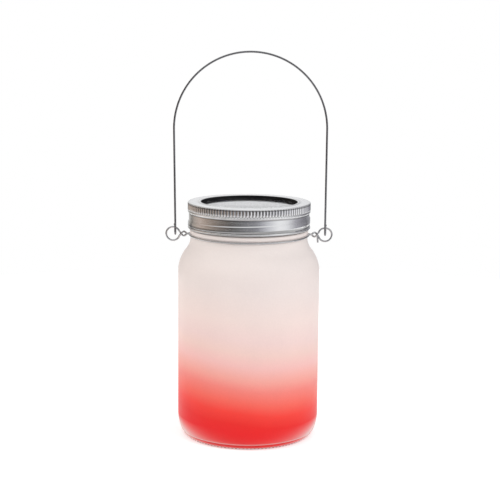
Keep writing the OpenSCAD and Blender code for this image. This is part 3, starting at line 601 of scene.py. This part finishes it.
# Seal: a flat moulded ring with rounded corners
SEAL_Z, SEAL_T, SEAL_R, SEAL_HOLE_R, ROUND, CUT_IN = 137.431, 0.8, 34.0, 30.4, 0.2, 0.06
ring = []
for r, z, out, up in ((SEAL_HOLE_R, SEAL_Z, 1, 1), (SEAL_R, SEAL_Z, -1, 1),
                      (SEAL_R, SEAL_Z + SEAL_T, -1, -1), (SEAL_HOLE_R, SEAL_Z + SEAL_T, 1, -1)):
    corner = [(r, z + up * ROUND), (r + out * CUT_IN, z + up * CUT_IN), (r + out * ROUND, z)]
    ring += corner if out == up else corner[::-1]
bm = bmesh.new()
line_to(bm, pen_down(bm, *ring[0]), *ring[1:], ring[0])
turn(bm, 32, cuts=3)
piece_from(bm, "seal_gasket", seal_material, "seal", ["seal_ring"])

# Cover screws: plated steel with a cross recess, a fine grain on the plating
screw_material, tree, shader = material("plated_screw", (0.62, 0.62, 0.63), 0.3, Metallic=1.0)
patches = grain(tree, shader, scale=1200.0, bump=0.15, gloss=(0.2, 0.4), depth=0.00003)
uneven(tree, shader, patches, (0.50, 0.50, 0.51), (0.70, 0.70, 0.70))
softened("cover_screws", "cover_screw_set", screw_material, "insert", 0.08)


# ---- Clear cover and solar cell ------------------------------------------------------------
# A thin acrylic disc, very slightly crowned, lies in the recess over the cell. The cell is
# dark blue silicon printed with fine silver fingers and bus bars, under a clear coat.
COVER_R, COVER_LOW, COVER_TOP, COVER_CROWN = 28.45, 137.881, 138.45, 0.15
cover_material, tree, shader = material(
    "clear_acrylic", (0.97, 0.97, 0.985), 0.03, IOR=1.47, Transmission_Weight=1.0,
    Specular_Tint=(0.80, 0.79, 0.83, 1))
grain(tree, shader, scale=300.0, bump=0.02, gloss=(0.015, 0.05), depth=0.00002)
bm = bmesh.new()
pen = pen_down(bm, 0, COVER_LOW)
pen = line_to(bm, pen, (14, COVER_LOW), (COVER_R - 0.15, COVER_LOW), (COVER_R, COVER_LOW + 0.15),
              (COVER_R, COVER_TOP - 0.15), (COVER_R - 0.15, COVER_TOP))
pen = line_to(bm, pen, *[(r, COVER_TOP + COVER_CROWN * (1 - (r / COVER_R) ** 2))
                         for r in (25, 20, 14, 8, 3, 0)])
turn(bm, 32, cuts=3)
piece_from(bm, "cover_disc", cover_material, "insert", ["clear_cover"])

FINGER_PITCH, FINGER_W, BUS_PITCH, BUS_W, FRONT_DEPTH = 0.95, 0.22, 9.5, 1.3, 0.4
cell_material, tree, shader = material("solar_silicon", (0.01, 0.015, 0.05), 0.3, Coat_Weight=0.4,
                                       Coat_Roughness=0.08)
grain(tree, shader, scale=700.0, bump=0.05, gloss=(0.22, 0.34), depth=0.00002)
place, axes = axes_of(tree)


def stripes(tree, value, pitch, width):
    """Mask of thin lines, one every two pitches, from a coordinate; sizes in millimetres."""
    return math_node(tree, "LESS_THAN", math_node(tree, "PINGPONG", value, pitch * MM),
                     width / 2 * MM)


metal = math_node(tree, "MAXIMUM", stripes(tree, axes["X"], FINGER_PITCH, FINGER_W),
                  stripes(tree, axes["Y"], BUS_PITCH, BUS_W))
flakes = add(tree, "TexVoronoi", {"Vector": place, "Scale": 260.0})
silicon = ramp(tree, flakes.outputs["Color"],
               [(0.0, (0.006, 0.010, 0.035)), (1.0, (0.014, 0.028, 0.09))])
front = math_node(tree, "GREATER_THAN", axes["Z"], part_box("solar_cell")[1][2] - FRONT_DEPTH * MM)
printed = blend_colors(tree, metal, silicon, (0.55, 0.56, 0.58))
tree.links.new(blend_colors(tree, front, (0.62, 0.58, 0.47), printed), shader.inputs["Base Color"])
softened("solar_cell", "solar_panel", cell_material, "insert", 0.1)


# ---- Battery and contacts -------------------------------------------------------------------
# A rechargeable cell in a printed shrink sleeve, between a flat nickel plate and a cone spring
# that is welded to its own plate.
CELL_R, CELL_L, NIPPLE_R, NIPPLE_L, SLEEVE_HOLE_R = 5.25, 43.3, 1.9, 1.0, 4.3
battery_box = [Vector(c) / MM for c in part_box("battery")]
cell_y, cell_z = ((battery_box[0][i] + battery_box[1][i]) / 2 for i in (1, 2))
cell_x = battery_box[0][0] + CELL_L / 2

battery_material, tree, shader = material("battery_sleeve", (0.05, 0.30, 0.12), 0.25,
                                          Coat_Weight=0.3, Coat_Roughness=0.12)
grain(tree, shader, scale=500.0, bump=0.05, gloss=(0.2, 0.3), depth=0.00002)
place, axes = axes_of(tree)
span = add(tree, "MapRange", {"Value": axes["X"], "From Min": (cell_x - CELL_L / 2) * MM,
                              "From Max": (cell_x + CELL_L / 2) * MM}).outputs[0]
bands = ramp(tree, span, [(0.0, (0.04, 0.28, 0.11)), (0.62, (0.03, 0.03, 0.035)),
                          (0.9, (0.70, 0.71, 0.70))], "CONSTANT")
off = add(tree, "VectorMath", {0: place, 1: (0, cell_y * MM, cell_z * MM)}, operation="SUBTRACT")
flat_off = add(tree, "VectorMath", {0: off.outputs[0], 1: (0, 1, 1)}, operation="MULTIPLY")
away = add(tree, "VectorMath", {0: flat_off.outputs[0]}, operation="LENGTH").outputs["Value"]
bare = math_node(tree, "LESS_THAN", away, SLEEVE_HOLE_R * MM)
tree.links.new(blend_colors(tree, bare, bands, (0.66, 0.65, 0.63)), shader.inputs["Base Color"])
tree.links.new(bare, shader.inputs["Metallic"])

bm = bmesh.new()
end, crimp = CELL_L / 2, 0.55
pen = pen_down(bm, 0, -end)
pen = line_to(bm, pen, (4.0, -end), (4.4, -end + 0.15), (CELL_R - crimp, -end))
pen = arc_to(bm, pen, (CELL_R - crimp, -end + crimp), 90, 4)
pen = line_to(bm, pen, (CELL_R, -6), (CELL_R, 12), (CELL_R, end - crimp))
pen = arc_to(bm, pen, (CELL_R - crimp, end - crimp), 90, 4)
pen = line_to(bm, pen, (SLEEVE_HOLE_R, end), (4.1, end - 0.25), (2.6, end - 0.25),
              (2.2, end - 0.1), (NIPPLE_R, end + 0.2), (NIPPLE_R, end + NIPPLE_L - 0.25),
              (NIPPLE_R - 0.25, end + NIPPLE_L), (0, end + NIPPLE_L))
turn(bm, 16, cuts=3)
bmesh.ops.transform(bm, verts=bm.verts[:], matrix=Matrix.Translation(
    (cell_x * MM, cell_y * MM, cell_z * MM)) @ Matrix.Rotation(math.pi / 2, 4, "Y"))
piece_from(bm, "battery_cell", battery_material, "insert", ["battery"])

contact_material, tree, shader = material("nickel_plate", (0.68, 0.65, 0.60), 0.25, Metallic=1.0)
patches = grain(tree, shader, scale=300.0, bump=0.1, gloss=(0.16, 0.34), depth=0.00003,
                stretch=(1, 1, 8))
uneven(tree, shader, patches, (0.58, 0.55, 0.50), (0.74, 0.71, 0.66))
softened("plus_contact", "plus_plate", contact_material, "insert", 0.06)
softened("minus_spring", "cone_spring", contact_material, "insert", smooth=50)


# ---- Leads ---------------------------------------------------------------------------------
# Stranded copper in soft PVC, a red and a black lead each from the solar cell and from the
# battery's contacts. They are soldered to the board inside the tub.
RED_PVC, BLACK_PVC = (0.50, 0.02, 0.02), (0.012, 0.012, 0.013)
for lead, color, slot in (("solar_lead_red", RED_PVC, "red_lead"),
                          ("battery_lead_red", RED_PVC, "red_lead"),
                          ("solar_lead_black", BLACK_PVC, "black_lead"),
                          ("battery_lead_black", BLACK_PVC, "black_lead")):
    lead_material, tree, shader = material(lead + "_pvc", color, 0.35)
    patches = grain(tree, shader, scale=900.0, bump=0.1, gloss=(0.28, 0.44))
    uneven(tree, shader, patches, tuple(0.85 * c for c in color), tuple(1.15 * c for c in color))
    softened(lead, lead + "_wire", lead_material, "insert", smooth=60)


# ---- Circuit -------------------------------------------------------------------------------
# A glass-fibre board with green resist over its copper, a charging chip on four legs, an axial
# choke, a 5 mm clear diode that reaches through the bottom cover, and a slide switch.
board_material, tree, shader = material("board_resist", (0.015, 0.16, 0.05), 0.35, Coat_Weight=0.3,
                                        Coat_Roughness=0.2)
grain(tree, shader, scale=900.0, bump=0.1, gloss=(0.28, 0.42))
place, axes = axes_of(tree)
tracks = add(tree, "TexBrick", {"Vector": place, "Scale": 260.0, "Mortar Size": 0.06,
                                "Brick Width": 1.3, "Row Height": 0.5})
copper = blend_colors(tree, tracks.outputs["Fac"], (0.012, 0.13, 0.04), (0.03, 0.24, 0.08))
dots = add(tree, "TexVoronoi", {"Vector": place, "Scale": 420.0, "Randomness": 0.35})
solder = math_node(tree, "LESS_THAN", dots.outputs["Distance"], 0.2)
tree.links.new(blend_colors(tree, solder, copper, (0.62, 0.60, 0.55)), shader.inputs["Base Color"])
softened("circuit_board", "driver_board", board_material, "insert", 0.05)

CHIP_LEG_H = 0.6
chip_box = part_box("driver_chip")
chip_material, tree, shader = material("chip_epoxy", (0.02, 0.02, 0.021), 0.5)
grain(tree, shader, scale=2200.0, bump=0.2, gloss=(0.45, 0.6))
_, axes = axes_of(tree)
legs = math_node(tree, "LESS_THAN", axes["Z"], chip_box[0][2] + CHIP_LEG_H * MM)
tree.links.new(blend_colors(tree, legs, (0.022, 0.022, 0.023), (0.66, 0.66, 0.65)),
               shader.inputs["Base Color"])
tree.links.new(legs, shader.inputs["Metallic"])
softened("driver_chip", "charge_chip", chip_material, "insert", 0.06)

RING_SPAN, CHOKE_HALF = 5, 3.01
LACQUER, TINNED, BROWN = (0.10, 0.34, 0.20), (0.7, 0.7, 0.68), (0.25, 0.09, 0.03)
BLACK, ORANGE = (0.012, 0.012, 0.012), (0.5, 0.12, 0.02)
choke_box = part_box("coil_choke")
choke_x = (choke_box[0][0] + choke_box[1][0]) / 2
choke_material, tree, shader = material("choke_lacquer", (0.08, 0.30, 0.18), 0.3, Coat_Weight=0.4,
                                        Coat_Roughness=0.15)
grain(tree, shader, scale=900.0, bump=0.1, gloss=(0.22, 0.36))
_, axes = axes_of(tree)
span = add(tree, "MapRange", {"Value": axes["X"], "From Min": choke_x - RING_SPAN * MM,
                              "From Max": choke_x + RING_SPAN * MM})
rings = ramp(tree, span.outputs[0], [
    (0.0, TINNED), (0.19, LACQUER), (0.27, BROWN), (0.33, LACQUER), (0.41, BLACK),
    (0.47, LACQUER), (0.57, ORANGE), (0.63, LACQUER), (0.81, TINNED)], "CONSTANT")
tree.links.new(rings, shader.inputs["Base Color"])
ends = math_node(tree, "GREATER_THAN", math_node(tree, "ABSOLUTE", math_node(
    tree, "SUBTRACT", axes["X"], choke_x)), CHOKE_HALF * MM)
tree.links.new(ends, shader.inputs["Metallic"])
softened("coil_choke", "axial_choke", choke_material, "insert", smooth=50)

led_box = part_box("led")
led_material, tree, shader = material("diode_lens", (0.94, 0.94, 0.90), 0.05, IOR=1.5,
                                      Transmission_Weight=0.75)
grain(tree, shader, scale=600.0, bump=0.02, gloss=(0.03, 0.09), depth=0.00002)
_, axes = axes_of(tree)
depth = add(tree, "MapRange", {"Value": axes["Z"], "From Min": led_box[0][2],
                               "From Max": led_box[1][2]})
lens = ramp(tree, depth.outputs[0],
            [(0.2, (0.95, 0.95, 0.92)), (0.62, (0.93, 0.90, 0.62)), (0.75, (0.80, 0.80, 0.76))])
tree.links.new(lens, shader.inputs["Base Color"])
softened("led", "diode", led_material, "insert", smooth=50)

switch_material, tree, shader = material("switch_shell", (0.66, 0.66, 0.65), 0.3, Metallic=1.0)
patches = grain(tree, shader, scale=500.0, bump=0.12, gloss=(0.22, 0.4), depth=0.00003)
uneven(tree, shader, patches, (0.58, 0.58, 0.57), (0.72, 0.72, 0.71))
softened("switch_body", "switch_shell", switch_material, "insert", 0.1)
slider_material, tree, shader = material("switch_nylon", (0.78, 0.78, 0.75), 0.45)
patches = grain(tree, shader, scale=1200.0, bump=0.15, gloss=(0.4, 0.55))
uneven(tree, shader, patches, (0.72, 0.72, 0.68), (0.82, 0.82, 0.79))
softened("switch_slider", "switch_knob", slider_material, "slider", 0.15)


# ---- Camera, floor and light --------------------------------------------------------------
# A pale floor, open to the eye from below, under soft studio light, in metres. Metal mirrors a
# white room with a dark flag at the front left, a grey front and a bright panel on the right.
FOCAL_PX, FRAME_PX, OFFSET_PX, SENSOR = 1367.2, 500, 1.13, 36
EYE, AIM_Z, ROLL = (0, -0.8, 0.24695), 0.11131, 0.0081
camera = bpy.data.cameras.new("camera")
camera.sensor_width = SENSOR
camera.lens = FOCAL_PX / FRAME_PX * SENSOR
camera.shift_x = OFFSET_PX / FRAME_PX
viewer = bpy.data.objects.new("camera", camera)
bpy.context.scene.collection.objects.link(viewer)
down = math.atan2(EYE[2] - AIM_Z, -EYE[1])
viewer.matrix_world = (Matrix.Translation(EYE) @ Matrix.Rotation(math.pi / 2 - down, 4, "X")
                       @ Matrix.Rotation(ROLL, 4, "Z"))
bpy.context.scene.camera = viewer


def shows_background(tree):
    """Light Path node, and 1 for the rays that see the room as the eye does."""
    path = add(tree, "LightPath")
    seen = math_node(tree, "MAXIMUM", path.outputs["Is Camera Ray"],
                     path.outputs["Is Transmission Ray"])
    return path, seen


# The lift whitens the floor to the eye, and behind the jar to the metal that mirrors it
FLOOR_R, FLOOR_WHITE, FLOOR_LIFT, FLOOR_FRONT = 0.55, 0.88, 0.42, (-0.12, 0.04)
floor_material, tree, shader = material("pale_floor", (FLOOR_WHITE,) * 3, 0.7)
bm = bmesh.new()
bmesh.ops.create_circle(bm, cap_ends=True, segments=96, radius=FLOOR_R)
mesh = bpy.data.meshes.new("floor")
bm.to_mesh(mesh)
bm.free()
mesh.materials.append(floor_material)
floor = bpy.data.objects.new("floor", mesh)
bpy.context.scene.collection.objects.link(floor)
path, seen = shows_background(tree)
_, axes = axes_of(tree)
behind = add(tree, "MapRange", {"Value": axes["Y"], "From Min": FLOOR_FRONT[0],
                                "From Max": FLOOR_FRONT[1]})
mirrored = math_node(tree, "MULTIPLY", path.outputs["Is Glossy Ray"], behind.outputs[0])
glow = add(tree, "Emission", {"Color": (1, 1, 1, 1), "Strength": math_node(
    tree, "MULTIPLY", math_node(tree, "MAXIMUM", seen, mirrored), FLOOR_LIFT)})
lifted = add(tree, "AddShader", {0: shader.outputs[0], 1: glow.outputs[0]})
one_sided = add(tree, "MixShader", {
    0: math_node(tree, "MULTIPLY", add(tree, "NewGeometry").outputs["Backfacing"], seen),
    1: lifted.outputs[0], 2: add(tree, "BsdfTransparent").outputs[0]})
tree.links.new(one_sided.outputs[0], tree.nodes["Material Output"].inputs[0])

SKY_LOW, SKY_HIGH, CEILING = (0.98, 0.98, 0.985), (0.56, 0.56, 0.565), (0.35, 0.8)
# Round the room, as metal mirrors it: share of a turn, from the back by the left, and colour
ROOM = [
    (0.00, (0.95, 0.95, 0.96)), (0.05, (0.62, 0.61, 0.60)), (0.10, (0.33, 0.31, 0.28)),
    (0.20, (0.60, 0.49, 0.42)), (0.25, (0.42, 0.33, 0.27)), (0.34, (0.20, 0.165, 0.14)),
    (0.40, (0.10, 0.09, 0.085)), (0.44, (0.13, 0.13, 0.13)), (0.54, (0.24, 0.24, 0.265)),
    (0.60, (0.66, 0.66, 0.70)), (0.66, (1.05, 1.05, 1.06)), (0.71, (0.95, 0.95, 0.97)),
    (0.77, (0.42, 0.41, 0.45)), (0.85, (0.24, 0.235, 0.26)), (0.94, (0.34, 0.34, 0.36)),
    (1.00, (0.95, 0.95, 0.96))]
world = bpy.data.worlds.new("studio")
bpy.context.scene.world = world
world.use_nodes = True
tree = world.node_tree
background = tree.nodes["Background"]
direction = add(tree, "SeparateXYZ", {0: add(tree, "TexCoord").outputs["Generated"]})
around = math_node(tree, "ARCTAN2", direction.outputs["X"],
                   math_node(tree, "MULTIPLY", direction.outputs["Y"], -1.0))
share = add(tree, "MapRange", {"Value": around, "From Min": -math.pi, "From Max": math.pi})
room = ramp(tree, share.outputs[0], ROOM)
upward = add(tree, "MapRange", {"Value": direction.outputs["Z"], "From Min": CEILING[0],
                                "From Max": CEILING[1]})
gloss_room = blend_colors(tree, upward.outputs[0], room, (1, 1, 1))
path, seen = shows_background(tree)
sky = blend_colors(tree, direction.outputs["Z"], SKY_LOW, SKY_HIGH)
lit = blend_colors(tree, path.outputs["Is Glossy Ray"], sky, gloss_room)
tree.links.new(blend_colors(tree, seen, lit, (1, 1, 1)), background.inputs["Color"])

LAMP_AIM = Vector((0, 0, 0.1))


def lamp(name, place, size, power, color=(1, 1, 1)):
    """Square softbox aimed at the middle of the jar; metal and glass do not show it."""
    light = bpy.data.lights.new(name, "AREA")
    light.size, light.energy, light.color = size, power, color
    holder = bpy.data.objects.new(name, light)
    bpy.context.scene.collection.objects.link(holder)
    holder.location = place
    aim = LAMP_AIM - Vector(place)
    holder.rotation_euler = aim.to_track_quat("-Z", "Y").to_euler()
    holder.visible_glossy = False


lamp("key", (0.8, -0.75, 0.78), 0.7, 6.6)
lamp("fill", (-0.92, -0.25, 0.65), 0.6, 3.9, (1, 0.95, 0.88))
bpy.context.scene.view_settings.view_transform = "Standard"
